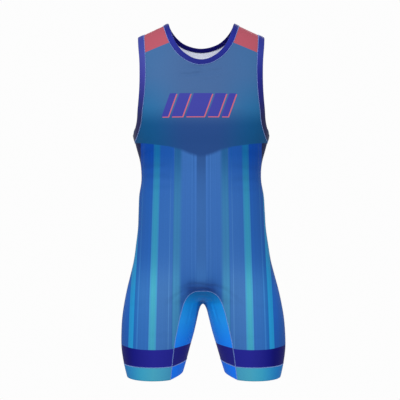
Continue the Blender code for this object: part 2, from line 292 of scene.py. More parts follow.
def edge_strip(edge, band, sign, on_seam, shares=steps_to_one(TAPE_STEPS)):
    """Lines that run beside a cut edge, at shares of a binding's width from it."""
    side = square_to(edge, sign)
    side[on_seam, 1] = 0
    side[edge[:, 0] == 0, 0] = 0
    strip = settle(edge[:, None] + shares[None, :, None] * band * unit(side)[:, None], HEM)
    strip[:, shares == 0] = edge[:, None]
    return strip


def rows_between(left, right, steps):
    """Rows of cloth from one line to another on the skin, evenly divided."""
    share = steps_to_one(FINE // 10)[None, :, None]
    fine = left[:, None] * (1 - share) + right[:, None] * share
    fine[:, 1:-1] = settle(fine[:, 1:-1], NECK_POINT[1])
    rows = np.stack([even(row, steps_to_one(steps)) for row in fine])
    rows[:, 1:-1] = settle(rows[:, 1:-1], NECK_POINT[1])
    return rows


# Soft creases of the worn cloth, in millimetres and degrees. A crease lies at a place
# of the front or back view, at an angle from level; depth is below 0 for a trough, and
# bend is how far its ends rise above its middle.
CREASE_COLUMNS = ("face", "x", "z", "angle", "length", "width", "depth", "bend")
CREASE_ROWS = [
    # under the neck
    (-1, -6, -98, 1, 34, 3.6, -1.5, 3), (-1, -26, -117, 4, 26, 4.0, -1.9, 2),
    (-1, 24, -107, -5, 26, 4.0, -1.8, 2), (-1, 6, -114, -2, 30, 4.0, -1.2, 2),
    (-1, 20, -129, 2, 22, 4.0, -1.0, 1), (1, 6, -58, 2, 34, 4.0, -1.0, 3),
    (1, -16, -68, -2, 28, 4.0, -0.9, 2),
    # from the armpits
    (-1, -142, -284, 24, 30, 4.5, -0.9, 3), (-1, -130, -302, 14, 34, 5.5, -0.8, -2),
    (-1, 143, -287, -22, 27, 4.5, -0.8, 3), (-1, 128, -306, -13, 38, 6.0, -0.9, -2),
    (1, -140, -286, 22, 34, 5.0, -1.1, 3), (1, -124, -309, 12, 40, 6.5, -1.0, -2),
    (1, 141, -283, -25, 31, 5.0, -1.0, 3), (1, 120, -305, -15, 37, 6.0, -1.1, -2),
    # at the waist
    (-1, -118, -338, 3, 40, 8.0, -1.8, 2), (-1, -108, -361, -2, 46, 8.5, -1.6, -3),
    (-1, 116, -342, -4, 44, 8.0, -1.6, 2), (-1, 104, -368, 2, 38, 9.0, -1.8, -3),
    (-1, -96, -388, 4, 34, 7.5, -1.1, 2), (-1, 98, -392, -3, 42, 7.5, -1.2, 2),
    (1, -84, -336, 4, 56, 8.5, -1.6, 3), (1, 58, -352, -3, 62, 9.0, -1.8, 4),
    (1, -38, -372, 2, 58, 9.5, -1.7, -4), (1, 92, -384, -5, 46, 8.5, -1.4, 3),
    (1, -102, -396, 5, 40, 8.5, -1.2, 2), (1, 12, -404, -2, 44, 9.0, -1.1, 3),
    # drag lines at the crotch and under the seat
    (-1, -36, -616, 32, 22, 5.0, -0.8, 3), (-1, 38, -620, -30, 20, 5.0, -0.7, 3),
    (-1, -62, -640, 40, 30, 5.5, -0.9, -3), (-1, 64, -636, -42, 33, 5.5, -0.9, -3),
    (-1, 0, -627, 0, 42, 8.0, -1.8, -16), (-1, -12, -612, 4, 20, 4.2, -1.3, -1),
    (-1, 17, -616, -5, 18, 3.8, -1.2, -1), (-1, -4, -623, 1, 18, 2.8, -1.2, -1),
    (-1, -28, -622, 10, 12, 3.0, -1.0, 0),
    (-1, -2, -645, 0, 16, 2.4, 1.2, -1), (-1, 4, -653, 2, 18, 2.6, -1.1, -1),
    (-1, 24, -678, -72, 20, 2.6, 1.3, 1), (-1, 31, -690, -74, 22, 2.8, -1.0, 1),
    (-1, -27, -676, 70, 22, 3.2, 1.0, -1), (-1, -34, -694, 73, 24, 3.4, -0.8, -1),
    (1, -66, -622, 9, 56, 8.5, -2.0, -7), (1, 70, -626, -8, 52, 8.5, -1.9, -7),
    (1, -58, -646, 18, 40, 7.0, -1.2, -5), (1, 61, -650, -20, 38, 7.0, -1.2, -5),
    (1, 0, -560, 90, 52, 7.0, -1.4, 0),
    # across the thighs
    (-1, -146, -664, 14, 34, 8.0, -0.7, 4), (-1, 150, -672, -12, 36, 8.0, -0.7, 4),
    (1, -140, -676, 10, 40, 8.5, -0.9, 4), (1, 144, -668, -12, 36, 8.5, -0.9, 4),
    (-1, -96, -738, -6, 40, 7.0, -0.5, -3), (-1, 104, -744, 5, 38, 7.0, -0.5, -3),
    (1, -100, -746, 7, 42, 7.5, -0.6, -3), (1, 102, -738, -6, 40, 7.5, -0.6, -3),
]
# How far in from the cloth a crease acts, so that the other face stays as it is
CREASE_REACH = 45 * MM
# The swelling beside a crease: its height as a share of the crease's depth, and its place
# and width in crease widths
SWELLING = (0.35, 1.9, 1.2)


def creased(p):
    """Move points out or in by every crease: a bell across it, fading along it."""
    high, beside, wide = SWELLING
    lift = np.zeros(p.shape[:-1])
    for row in CREASE_ROWS:
        c = dict(zip(CREASE_COLUMNS, row))
        middle = lay(np.array(c["x"] * MM), np.array(c["z"] * MM), c["face"])
        out = outward(middle)
        level = unit(np.cross([0, 0, 1], out) * -c["face"])
        up = np.cross(out, level) * -c["face"]
        turn = np.radians(c["angle"])
        away = p - middle
        along = away @ (level * np.cos(turn) + up * np.sin(turn)) / (c["length"] * MM)
        aside = away @ (up * np.cos(turn) - level * np.sin(turn)) / MM
        aside = (aside - c["bend"] * along**2) / c["width"]
        near = np.exp(-(away @ out / CREASE_REACH) ** 2)
        bell = np.exp(-aside**2) - high * np.exp(-((aside - beside) / wide) ** 2)
        lift += c["depth"] * MM * bell * np.exp(-along**4) * near
    return p + lift[..., None] * outward(p)


def swayed(p):
    """The filled garment leans a little to one side below its waist."""
    below = np.clip(WAIST - p[..., 2], 0, None)
    return p + np.stack([SWAY * below, 0 * below, 0 * below], -1)


def weld(patches):
    """Join grids of points along their shared lines, as points and quads that face out."""
    points = np.vstack([patch.reshape(-1, 3) for patch in patches]) + 0.0
    quads = []
    start = 0
    for patch in patches:
        number = np.arange(patch.shape[0] * patch.shape[1]).reshape(patch.shape[:2]) + start
        cells = np.stack([number[:-1, :-1], number[1:, :-1],
                          number[1:, 1:], number[:-1, 1:]], -1).reshape(-1, 4)
        corner = points[cells]
        facing = np.cross(corner[:, 2] - corner[:, 0], corner[:, 3] - corner[:, 1])
        if np.sum(facing * outward(corner[:, 0])) < 0:
            cells = cells[:, ::-1]
        quads.append(cells)
        start += number.size
    keys = np.round(points / WELD).astype(np.int64)
    _, first, same = np.unique(keys, axis=0, return_index=True, return_inverse=True)
    return points[first], first, same.reshape(-1)[np.vstack(quads)]


def hemmed(patch):
    """Wall of a grid that ends in a turned-up leg hem."""
    wall = np.full(patch.shape[:2], WALL)
    wall[-len(HEM_LEVELS):] = HEM_WALL
    return wall


def round_the_body(points, face):
    """Distance along the cloth from the centre line, at each point's own height."""
    share = np.sin(np.linspace(0, np.pi / 2, AROUND_STEPS + 1))[:, None]
    path = lay(points[:, 0] * share, points[:, 2] + 0 * share, face)
    return np.sign(points[:, 0]) * np.linalg.norm(np.diff(path, axis=0), axis=-1).sum(0)


def print_marks(x, z):
    """Where the print's blocks lie from a point, and how far its tones and painted shades have
    turned.

    x and z are distance from the centre and printed height, in millimetres.
    """
    starts, ends = (np.interp(x, CHEST_ASIDE, row) for row in zip(*CHEST_SHADE_TURN))
    turn = np.clip((z - starts) / (ends - starts), 0, 1)
    place = np.stack([z - np.interp(x, *CHEST_EDGE.T), z - np.interp(x, *CORAL_EDGE.T), z], -1)
    tone = np.stack([smooth(np.clip(z, *PRINT_FADE_AND_LIGHT[[0, -1], 0]), *PRINT_FADE_AND_LIGHT.T),
                     turn**2 * (3 - 2 * turn), z - np.interp(x, *BAND_EDGE.T)], -1)
    return {"print_place": place, "print_and_shade_tone": tone}


def add_piece(name, points, faces, materials, marks=None, sharp=SHARP):
    """Add a smoothly shaded piece from points on the form, with vectors kept at them."""
    mesh = bpy.data.meshes.new(name)
    mesh.from_pydata(swayed(points).tolist(), [], faces)
    mesh.shade_smooth()
    if sharp:
        mesh.set_sharp_from_angle(angle=sharp)
    for mark, values in (marks or {}).items():
        layer = mesh.attributes.new(mark, "FLOAT_VECTOR", "POINT")
        layer.data.foreach_set("vector", values.astype(np.float32).ravel())
    for material in materials:
        mesh.materials.append(material)
    piece = bpy.data.objects.new(name, mesh)
    bpy.context.collection.objects.link(piece)
    return piece


def add_cloth(name, patches, walls, levels, knit, materials):
    """A wall of cloth: creased outer skin, inner skin, and a soft rim between them.

    levels are the printed heights of the grids' points, and knit gives their place in
    the fabric from their place on the form.
    """
    points, first, quads = weld(patches)
    wall = np.concatenate([wall.reshape(-1) for wall in walls])[first, None]
    level = np.concatenate([level.reshape(-1) for level in levels])[first]
    normal = outward(points)
    outer = creased(points)
    inner = outer - wall * normal
    count = len(points)
    edges = np.stack([quads, np.roll(quads, -1, axis=1)], -1).reshape(-1, 2)
    one_way = edges[:, 0] * count + edges[:, 1]
    open_edge = edges[~np.isin(one_way, edges[:, 1] * count + edges[:, 0])]
    brink = np.unique(open_edge)
    place = np.zeros(count, int)
    place[brink] = np.arange(len(brink)) + 2 * count
    middle = (outer + inner)[brink] / 2
    middle[:, 2] -= np.where(wall[brink, 0] == HEM_WALL, HEM_ROUND, 0) * (
        level[brink] < HEM + 1.5 * HEM_ROUND)
    a, b = open_edge.T
    rims = [np.stack([b, a, place[a], place[b]], -1),
            np.stack([place[b], place[a], a + count, b + count], -1)]
    faces = np.vstack([quads, rims[0], rims[1], quads[:, ::-1] + count])
    every = np.concatenate([np.arange(count), np.arange(count), brink])
    marks = print_marks(np.abs(points[:, 0]) / MM, level / MM)
    marks["knit_place"] = knit(points) / MM
    piece = add_piece(name, np.vstack([outer, inner, middle]), faces.tolist(), materials,
                      {mark: values[every] for mark, values in marks.items()})
    inside = np.arange(len(faces)) >= len(faces) - len(quads)
    piece.data.polygons.foreach_set("material_index", inside.astype(np.int32))
    return piece


def mirrored(grids):
    """Grids of one side, and then the same for the other side."""
    return grids + [grid * [-1, 1, 1] for grid in grids]


def panel_grids(face):
    """Strips under the bindings, and the rows between side and centre."""
    arm = edge_strip(armhole_edge(face), ARM_TAPE, face, [0, -1])
    neck = edge_strip(neck_edge(face), NECK_TAPE, -face, [0])
    seam = gusset_seam(face)
    seam = seam + SEAM_GAP / 2 * square_to(seam, -face)
    seam[0, 0] = 0
    outer = np.vstack([arm[:, -1], side_seam(arm[-1, -1, 2])])
    share = steps_to_one(CENTRE_STEPS)[1:-1]
    share = share - ENDS_CROWD * np.sin(2 * np.pi * share) / (2 * np.pi)
    z = neck[-1, -1, 2] * (1 - share) + seam[0, 2] * share
    inner = np.vstack([neck[:, -1], lay(0 * z, z, face), seam])
    grids = [arm, neck, rows_between(outer, inner, ACROSS_STEPS)]
    for grid in grids:
        # The shoulder and side seams lie in the plane between front and back
        grid[..., 1] = face * np.maximum(face * grid[..., 1], SEAM_GAP / 2)
    return grids


def linear(colour):
    """sRGB hex text as linear red, green, blue and alpha: the sRGB curve, undone."""
    share = np.array([int(colour[i:i + 2], 16) for i in (1, 3, 5)]) / 255
    return (*np.where(share > 0.04045, ((share + 0.055) / 1.055) ** 2.4, share / 12.92), 1)


def add_node(tree, kind, links=(), output=0, stops=(), **settings):
    """Add a shader node and give one of its outputs.

    Its inputs are filled with numbers, colours in hex, or the outputs of other nodes.
    The stops of a colour ramp are rows of place and colour.
    """
    node = tree.nodes.new("ShaderNode" + kind)
    for name, value in settings.items():
        setattr(node, name, value)
    for name, value in dict(links).items():
        if isinstance(value, bpy.types.NodeSocket):
            tree.links.new(value, node.inputs[name])
        else:
            node.inputs[name].default_value = linear(value) if isinstance(value, str) else value
    for number, (place, colour) in enumerate(stops):
        row = node.color_ramp.elements
        stop = row[number] if number < 2 else row.new(place)
        stop.position, stop.color = place, linear(colour)
    return node.outputs[output]


# Print, in millimetres: the chest block's lower edge and the shoulder blocks' edge, as
# distance from the centre and height
CHEST_EDGE = np.array([(0, -309.6), (12, -308), (27, -303.5), (47.5, -294.5), (75, -286.5),
                       (115, -280.5), (150, -276), (190, -272)])
CORAL_EDGE = np.array([(60, -31), (78, -38), (130, -58), (160, -69.5)])
# Stripes spread evenly towards the hem: their places are given for one height
SPREAD_FROM = -330
SPREAD = 0.103 / 425
# How far the stripes' tones have gone from their top tone to their hem tone, by height:
# partly the print's own gradient, partly painted shade under the chest and painted light
# over the thighs
PRINT_FADE_AND_LIGHT = np.array([(-770, 0.91), (-720, 1.01), (-680, 1.11), (-645, 1.2), (-628, 1.2),
                 (-600, 1.07), (-570, 0.8), (-545, 0.67), (-500, 0.6), (-450, 0.58),
                 (-410, 0.52), (-370, 0.38), (-335, 0.17), (-305, 0.0)])
# Grounds, each printed over the one before from its inner edge outwards: the edge, its
# softness, top tone and hem tone
GROUNDS = [
    ("body", 0, 0.1, "#3466aa", "#2d60a7"),
    ("mid", 64, 1.5, "#1650a1", "#3a6daf"),
    ("side", 114, 0.7, "#0244a1", "#2f69b2"),
    ("flank", 140, 9, "#0644a8", "#2066b4"),
    # Its near-black top tone is painted shade under the armpits
    ("outer", 158, 0.8, "#161d48", "#1d5cb4"),
]
# Stripes over them: both edges, the softness of each, top tone, hem tone, and how much
# sooner than the grounds the hem tone is reached
STRIPES = [
    ("centre", -9, 10.5, 0.1, 1.6, "#274e89", "#3569ac", 1),
    ("centre glint", 11.5, 14.5, 0.8, 1.5, "#3a6cb4", "#3467ab", 1),
    ("centre pin", 17.8, 19.4, 0.5, 0.5, "#2d5c9f", "#3265a9", 1),
    ("centre edge", 20.6, 22.4, 0.6, 0.8, "#3a6db2", "#3366aa", 1),
    ("pin", 70.2, 72.4, 0.7, 0.7, "#1252a0", "#497ebd", 1),
    ("green", 47, 63.2, 5.0, 1.4, "#1e598f", "#3c81b0", 1),
    ("teal edge", 97.2, 113.6, 0.9, 0.7, "#11609f", "#3f95c2", 1),
    ("teal", 100.5, 110.5, 1.5, 1.5, "#0d659e", "#3f9dba", 1),
    ("line", 137.2, 140.2, 0.7, 0.7, "#124a9f", "#3578c0", 1),
    # Its near-black top tone is painted shade under the armpits
    ("azure", 147, 158, 0.8, 0.8, "#17204e", "#2290cc", 2),
]
# Painted shade over the gusset, where the cloth turns under: where the shade starts and
# where it is full, from the sides, from above and from below
PAINTED_CROTCH_SHADE = ((46, 24), (-590, -629), (-649, -625))
PAINTED_SHADE_TONE = "#1c4189"
PAINTED_SHADE_DEPTH = 0.92
STREAKS = 0.04               # faint tone-on-tone lines between the stripes
# Chest block: tones of its centre and of its sides down from the shoulders, the distances
# between which the first go over to the second, the heights where the lowest tone starts
# and is full at the centre and at the sides, and the same for the sides' middle tone. The
# lowest tone is painted shade under the chest.
CHEST_CENTRE = ("#3e6090", "#1f447f")
CHEST_SIDE = ("#3c6697", "#276799", "#0c4f82")
CHEST_ASIDE = (30, 128)
CHEST_SHADE_TURN = ((-180, -246), (-188, -240))
CHEST_UPPER = (-118, -195)
# Softness of the block's edge at two distances from the centre
CHEST_SOFT = ((50, 5.5), (80, 0.8))
CORAL = "#ad5261"
# Upper edge of the leg band as distance and height, and the line where the hem starts
BAND_EDGE = np.array([(70, -766.5), (80, -767.6), (110, -768), (150, -767.7), (168, -766.6),
                      (182, -765.2), (200, -764)])
HEM_LINE = -811.2
CRISP = 0.5                  # softness of the edges of bands and shoulder blocks
# Tones of the leg band and of the hem, at shares of this distance from the centre; the
# band's darkening outwards is painted shade at the sides of the legs
BAND_REACH = 190
SHADED_BAND_STOPS = ((0.60, "#20218b"), (0.76, "#1a1b82"), (0.85, "#10127c"), (0.92, "#06076c"))
HEM_STOPS = ((0.40, "#3f95bc"), (0.60, "#439eba"), (0.76, "#369bc0"), (1.0, "#147cce"))
# Chest ornament: a row of slanted bars, widest in the middle, with a coral under-edge
BARS = ((-84, -68), (-61, -35), (-28, 16), (23, 49), (56, 72))
BAR_SLANT = 0.36
BAR_HEIGHTS = (-217, -162)
BAR_EDGE = 2.2
BAR_SPAN = 200               # width over which the bars' colour ramp is laid
BAR_INDIGO = "#393c97"
BAR_CORAL = "#bd5f6e"
WALE = 1.6                   # millimetres; about twice the real one, so that it shows
COURSE = 1.25
LOOP_SLANT = 1.6             # slope of a loop's legs, in courses to a wale
LOOP_BODY = 0.3              # share of a wale over which its ridge rises
LOOP_RIPPLE = 0.3            # height of the loops on the ridge, as a share of its own
SOFT = {"interpolation_type": "SMOOTHSTEP"}      # settings of a MapRange with soft ends
TINT = {"output": 2, "data_type": "RGBA"}        # settings of a Mix between two colours


def knit_height(tree, place):
    """Height of a jersey's loops: two slanted legs to each wale, one loop a course.

    The height is the wale's round ridge plus a sine that runs slanted along it.
    """
    across, up, _ = add_node(tree, "SeparateXYZ", {0: place}).node.outputs
    wale = add_node(tree, "Math", {0: across, 1: WALE}, operation="DIVIDE")
    ridge = add_node(tree, "Math", {0: wale, 1: 0.5}, operation="PINGPONG")
    course = add_node(tree, "Math", {0: up, 1: COURSE}, operation="DIVIDE")
    leg = add_node(tree, "Math", {0: ridge, 1: LOOP_SLANT, 2: course}, operation="MULTIPLY_ADD")
    leg = add_node(tree, "Math", {0: leg, 1: 2 * np.pi}, operation="MULTIPLY")
    ripple = add_node(tree, "Math", {0: leg}, operation="SINE")
    body = add_node(tree, "MapRange", {0: ridge, 1: 0, 2: LOOP_BODY}, **SOFT)
    return add_node(tree, "Math", {0: ripple, 1: LOOP_RIPPLE, 2: body}, operation="MULTIPLY_ADD")


def new_material(name, constants):
    """A material, its nodes and its shader, with constants set on the shader's sockets."""
    material = bpy.data.materials.new(name)
    material.use_nodes = True
    shader = material.node_tree.nodes["Principled BSDF"]
    for socket, value in constants.items():
        shader.inputs[socket].default_value = value
    return material, material.node_tree, shader


def jersey(name, rough, sheen):
    """A knit's shader: satin gloss, a little sheen at the rim, and loops as bump."""
    material, tree, shader = new_material(name, {
        "Roughness": rough, "IOR": 1.46, "Specular IOR Level": 0.1, "Sheen Weight": sheen,
        "Sheen Roughness": 0.45})
    place = add_node(tree, "Attribute", output="Vector", attribute_name="knit_place")
    bump = add_node(tree, "Bump", {"Strength": 0.3, "Distance": 0.12 * MM,
                                   "Height": knit_height(tree, place)})
    tree.links.new(bump, shader.inputs["Normal"])
    return material, tree, shader, place


def dye(tree, shader, place, colour, mottle):
    """Give the knit its colour with the faint uneven tone of dyed yarn, a noise on it."""
    noise = add_node(tree, "TexNoise", {"Vector": place, "Scale": 0.22, "Detail": 4.0,
                                        "Roughness": 0.7})
    value = add_node(tree, "MapRange", {0: noise, 1: 0.25, 2: 0.75, 3: 1 - mottle, 4: 1 + mottle})
    tone = add_node(tree, "HueSaturation", {"Value": value, "Color": colour})
    tree.links.new(tone, shader.inputs["Base Color"])


# Sublimation-printed jersey: polyester face yarns take the dye and give a satin gloss
printed, tree, shader, place = jersey("sublimated polyester jersey", rough=0.55,
                                      sheen=0.01)
where = add_node(tree, "Attribute", output="Vector", attribute_name="print_place")
below_chest, below_coral, height = add_node(tree, "SeparateXYZ", {0: where}).node.outputs
tones = add_node(tree, "Attribute", output="Vector", attribute_name="print_and_shade_tone")
fade_and_light, chest_shade_turn, below_band = add_node(tree, "SeparateXYZ", {0: tones}).node.outputs
body = add_node(tree, "TexCoord", output="Object")
sideways, forward, _ = add_node(tree, "SeparateXYZ", {0: body}).node.outputs
sideways = add_node(tree, "Math", {0: sideways, 1: MM}, operation="DIVIDE")
distance = add_node(tree, "Math", {0: sideways}, operation="ABSOLUTE")
drop = add_node(tree, "Math", {0: SPREAD_FROM, 1: height}, operation="SUBTRACT")
spread = add_node(tree, "Math", {0: drop, 1: SPREAD, 2: 1}, operation="MULTIPLY_ADD")
stripe_place = add_node(tree, "Math", {0: distance, 1: spread}, operation="DIVIDE")
colour = GROUNDS[0][3]
for _, edge, soft, top, hem in GROUNDS:
    # The fade carries painted shade under the chest and painted light over the thighs
    tone = add_node(tree, "Mix", {0: fade_and_light, 6: top, 7: hem}, **TINT, clamp_factor=False)
    share = add_node(tree, "MapRange", {0: stripe_place, 1: edge - soft, 2: edge + soft}, **SOFT)
    colour = add_node(tree, "Mix", {0: share, 6: colour, 7: tone}, **TINT)
for _, inner, outer, soft_in, soft_out, top, hem, sooner in STRIPES:
    rise = add_node(tree, "MapRange", {0: stripe_place, 1: inner - soft_in, 2: inner + soft_in},
                    **SOFT)
    fall = add_node(tree, "MapRange", {0: stripe_place, 1: outer + soft_out, 2: outer - soft_out},
                    **SOFT)
    share = add_node(tree, "Math", {0: rise, 1: fall}, operation="MULTIPLY")
    reached = add_node(tree, "Math", {0: fade_and_light, 1: sooner}, operation="MULTIPLY",
                       use_clamp=sooner > 1)
    tone = add_node(tree, "Mix", {0: reached, 6: top, 7: hem}, **TINT, clamp_factor=False)
    colour = add_node(tree, "Mix", {0: share, 6: colour, 7: tone}, **TINT)
# Painted shade over the gusset, where the cloth turns under
share = PAINTED_SHADE_DEPTH
for value, (starts, full) in zip((distance, height, height), PAINTED_CROTCH_SHADE):
    inside = add_node(tree, "MapRange", {0: value, 1: starts, 2: full}, **SOFT)
    share = add_node(tree, "Math", {0: share, 1: inside}, operation="MULTIPLY")
colour = add_node(tree, "Mix", {0: share, 6: colour, 7: PAINTED_SHADE_TONE}, **TINT)
streak = add_node(tree, "TexNoise", {"W": stripe_place, "Scale": 0.23, "Detail": 3.0,
                                     "Roughness": 0.65}, noise_dimensions="1D")
streak = add_node(tree, "MapRange", {0: streak, 1: 0.3, 2: 0.7, 3: 1 - STREAKS, 4: 1 + STREAKS})
colour = add_node(tree, "HueSaturation", {"Value": streak, "Color": colour})

# Chest block, from the centre's tones to the sides' tones
starts, ends = CHEST_UPPER
share = add_node(tree, "MapRange", {0: height, 1: starts, 2: ends})
top, middle, lower = CHEST_SIDE
upper = add_node(tree, "Mix", {0: share, 6: top, 7: middle}, **TINT)
# Each block's lowest tone is painted shade under the chest
chest = [add_node(tree, "Mix", {0: chest_shade_turn, 6: above, 7: below}, **TINT)
         for above, below in (CHEST_CENTRE, (upper, lower))]
near, far = CHEST_ASIDE
aside = add_node(tree, "MapRange", {0: distance, 1: near, 2: far}, **SOFT)
chest = add_node(tree, "Mix", {0: aside, 6: chest[0], 7: chest[1]}, **TINT)

# Chest ornament, on the front only
low, high = BAR_HEIGHTS
risen = add_node(tree, "Math", {0: height, 1: (low + high) / 2}, operation="SUBTRACT")
slanted = add_node(tree, "Math", {0: risen, 1: -BAR_SLANT, 2: sideways},
                   operation="MULTIPLY_ADD")
bar_stops = [(0, "#000000")] + [(edge / BAR_SPAN + 0.5, tint) for bar in BARS
                                for edge, tint in zip(bar, ("#ffffff", "#000000"))]
for shift, tone in ((BAR_EDGE, BAR_CORAL), (0, BAR_INDIGO)):
    reach = shift * (1 + BAR_SLANT)
    along = add_node(tree, "MapRange", {0: slanted, 1: reach - BAR_SPAN / 2,
                                        2: reach + BAR_SPAN / 2})
    in_bar = add_node(tree, "ValToRGB", {0: along}, stops=bar_stops)
    in_bar.node.color_ramp.interpolation = "CONSTANT"
    for value, operation, limit in ((height, "GREATER_THAN", low - shift),
                                    (height, "LESS_THAN", high - shift),
                                    (forward, "LESS_THAN", 0)):
        inside = add_node(tree, "Math", {0: value, 1: limit}, operation=operation)
        in_bar = add_node(tree, "Math", {0: in_bar, 1: inside}, operation="MULTIPLY")
    chest = add_node(tree, "Mix", {0: in_bar, 6: chest, 7: tone}, **TINT)

# The blocks over the stripes, then the leg band and the hem
(near, soft), (far, hard) = CHEST_SOFT
chest_soft = add_node(tree, "MapRange", {0: distance, 1: near, 2: far, 3: soft, 4: hard})
chest_share = add_node(tree, "Math", {0: below_chest, 1: chest_soft}, operation="DIVIDE")
outwards = add_node(tree, "MapRange", {0: distance, 1: 0, 2: BAND_REACH})
band_tone_and_shade = add_node(tree, "ValToRGB", {0: outwards}, stops=SHADED_BAND_STOPS)
hem_tone = add_node(tree, "ValToRGB", {0: outwards}, stops=HEM_STOPS)
for value, before, after, tone in ((chest_share, -1, 1, chest),
                                   (below_coral, -CRISP, CRISP, CORAL),
                                   (below_band, CRISP, -CRISP, band_tone_and_shade),
                                   (height, HEM_LINE + CRISP, HEM_LINE - CRISP, hem_tone)):
    share = add_node(tree, "MapRange", {0: value, 1: before, 2: after}, **SOFT)
    colour = add_node(tree, "Mix", {0: share, 6: colour, 7: tone}, **TINT)
dye(tree, shader, place, colour, mottle=0.035)

# The same jersey's inside: undyed, with a little blue showing through
undyed, tree, shader, place = jersey("undyed inside of the jersey", rough=0.7, sheen=0.1)
dye(tree, shader, place, "#e2e6f4", mottle=0.02)

panels = {}
for name, face in (("front_panel", -1), ("back_panel", 1)):
    grids = panel_grids(face)
    walls = [np.full(grid.shape[:2], WALL) for grid in grids[:2]] + [hemmed(grids[2])]

    def fabric_place(p, face=face):
        return np.stack([round_the_body(p, face), p[:, 2], 0 * p[:, 2]], -1)

    panels[name] = add_cloth("jersey_" + name, mirrored(grids), walls * 2,
                             [grid[..., 2] for grid in grids] * 2, fabric_place,
                             [printed, undyed])
    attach(panels[name], "root")
    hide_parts(name)


# ---------------------------------------------------------------- gusset
# A plain azure strip of the same jersey, printed with the leg band and hemmed with the
# panels. It runs from one leg hem up the inner thigh, over the crotch and down again.

CROSS_STEPS = 48             # from its front seam to its back seam
GUSSET_TOP = -630
GUSSET_STOPS = ((0.05, "#0d66a8"), (0.22, "#148cdb"), (0.5, "#2090e5"), (1.0, "#187ef0"))
GUSSET_BAND = -765.9
GUSSET_INDIGO = "#1e1e7c"
GUSSET_HEM = "#1376f3"
PAINTED_FOLD_SHADE = "#0c4490"
# Tone along the inner thigh's fold on each leg, how much of it, and in millimetres where
# it is full and gone sideways, and full and gone from the fold line: the right leg's lies
# in shade and the left leg's is light
FOLD_SIDES = ((PAINTED_FOLD_SHADE, 0.25, 2, 6, 3, 18), ("#58a8f0", 0.4, 6, 2, 14, 36))
# The shade where the legs meet: half its width and length, the shares of them where it
# starts and is full, and how deep it is
CROSSING = (20 * MM, 36 * MM)
CROSSING_EDGE = (1.1, 0.6)
CROSSING_SHADE = 0.6
# Below this height, and over this much of it, the band comes to follow the hem
BAND_TURN = (-680 * MM, 60 * MM)
HEM_BELLY = 0.45             # how much the gusset's hem curves down between its corners


def thigh_line():
    """Inner thigh from the crotch to the hem, where front and back of the leg meet."""
    z = np.linspace(GUSSET_ROWS[0][1] * MM, HEM, 2 * FINE)
    inner = 2 * section("thigh", z) - np.hypot(section("half_width", z), CROTCH_ROUND)
    z = z[inner >= CROTCH_ROUND]
    x = np.sqrt(inner[inner >= CROTCH_ROUND] ** 2 - CROTCH_ROUND**2)
    x[0] = 0
    curve = np.stack([x, 0 * x, z], -1)
    rise = np.interp(-HEM_LEVELS, [-TURN_UP, -HEM], [TURN_UP_RISE, HEM_RISE])
    upper = even(curve[z >= TURN_UP + TURN_UP_RISE], steps_to_one(LEG_STEPS, CROTCH_CROWD))
    lower = read_off(-HEM_LEVELS - rise, -z, curve)
    return np.vstack([upper, lower])


def gusset_grid():
    """Quarter turns from the front seam to the inner thigh and on to the back seam."""
    front, back = gusset_seam(-1), gusset_seam(1)
    front = front - SEAM_GAP / 2 * square_to(front, 1)
    back = back - SEAM_GAP / 2 * square_to(back, -1)
    front[0, 0] = back[0, 0] = 0
    thigh = thigh_line()
    quarter = steps_to_one(CROSS_STEPS // 2)[None, :, None] * np.pi / 2
    halves = []
    for seam in (front, back):
        bend = np.concatenate([1 - np.sin(quarter), np.cos(quarter), 1 - np.sin(quarter)], -1)
        bend = np.repeat(np.clip(bend, 0, 1), len(thigh), axis=0)
        belly = np.clip((LEGS - thigh[:, None, 2:]) / (HEM - LEGS) * -HEM_BELLY, 0, None)
        bend[..., 2:] = bend[..., 2:] ** (1 - belly)
        half = thigh[:, None] + (seam - thigh)[:, None] * bend
        half[:, 1:] = settle(half[:, 1:], LEGS)
        half[:, 0] = seam
        halves.append(half)
    halves[1][:, -1] = halves[0][:, -1]
    return np.concatenate([halves[0], halves[1][:, -2::-1]], 1)


# Dyed azure before printing: the strongest colour of the garment
azure, tree, shader, place = jersey("azure polyester jersey", rough=0.55, sheen=0.01)
where = add_node(tree, "Attribute", output="Vector", attribute_name="print_place")
height = add_node(tree, "SeparateXYZ", {0: where}, 2)
down = add_node(tree, "MapRange", {0: height, 1: GUSSET_TOP, 2: GUSSET_BAND})
colour = add_node(tree, "ValToRGB", {0: down}, stops=GUSSET_STOPS)
# Painted shade and painted light towards the fold line of the inner thigh, and painted shade at
# the crotch
body = add_node(tree, "TexCoord", output="Object")
sideways, forward, _ = add_node(tree, "SeparateXYZ", {0: body}).node.outputs
forward = add_node(tree, "Math", {0: forward}, operation="ABSOLUTE")
for tone, most, full, gone, near, far in FOLD_SIDES:
    inner = add_node(tree, "MapRange", {0: forward, 1: far * MM, 2: near * MM}, **SOFT)
    share = add_node(tree, "MapRange", {0: sideways, 1: gone * MM, 2: full * MM, 4: most})
    share = add_node(tree, "Math", {0: share, 1: inner}, operation="MULTIPLY")
    colour = add_node(tree, "Mix", {0: share, 6: colour, 7: tone}, **TINT)
crossing = [add_node(tree, "Math", {0: value, 1: half}, operation="DIVIDE")
            for value, half in zip((sideways, forward), CROSSING)]
crossing = add_node(tree, "CombineXYZ", dict(enumerate(crossing)))
crossing = add_node(tree, "VectorMath", {0: crossing}, "Value", operation="LENGTH")
starts, full = CROSSING_EDGE
share = add_node(tree, "MapRange", {0: crossing, 1: starts, 2: full, 4: CROSSING_SHADE}, **SOFT)
colour = add_node(tree, "Mix", {0: share, 6: colour, 7: PAINTED_FOLD_SHADE}, **TINT)
for at, tone in ((GUSSET_BAND, GUSSET_INDIGO), (HEM_LINE, GUSSET_HEM)):
    share = add_node(tree, "MapRange", {0: height, 1: at + CRISP, 2: at - CRISP})
    colour = add_node(tree, "Mix", {0: share, 6: colour, 7: tone}, **TINT)
dye(tree, shader, place, colour, mottle=0.035)

